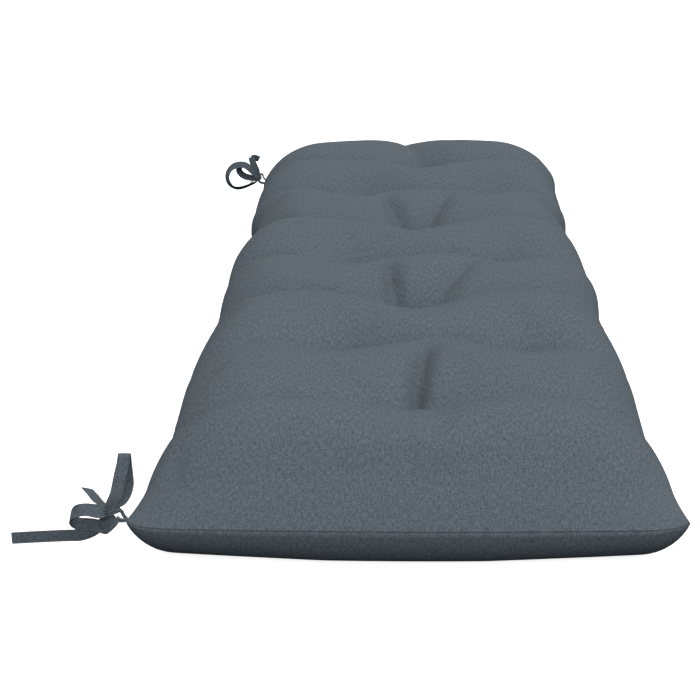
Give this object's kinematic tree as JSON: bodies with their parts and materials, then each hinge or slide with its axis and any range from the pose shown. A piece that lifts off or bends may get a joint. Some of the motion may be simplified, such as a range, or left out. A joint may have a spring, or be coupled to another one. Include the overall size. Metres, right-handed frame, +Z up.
{
  "type": "bench cushion",
  "caption": "Long tufted bench seat cushion with one knife-edge seam and a bow-tied strap at two corners, lying on its back.",
  "frame": {"origin": "middle of the flat underside, on the surface that the cushion rests on", "axes": "+X across the seat, away from the tied long side; +Y along the bench; +Z up out of the seat"},
  "size_m": [0.625, 1.2288, 0.1369],
  "materials": {
    "slate_cloth": "plain-weave slate blue-grey melange cloth",
    "strap_cloth": "folded and stitched strap of the same slate cloth"
  },
  "bodies": {
    "root": {"cushion": "slate_cloth", "tie_near": "strap_cloth", "tie_far": "strap_cloth"}
  },
  "joints": []
}
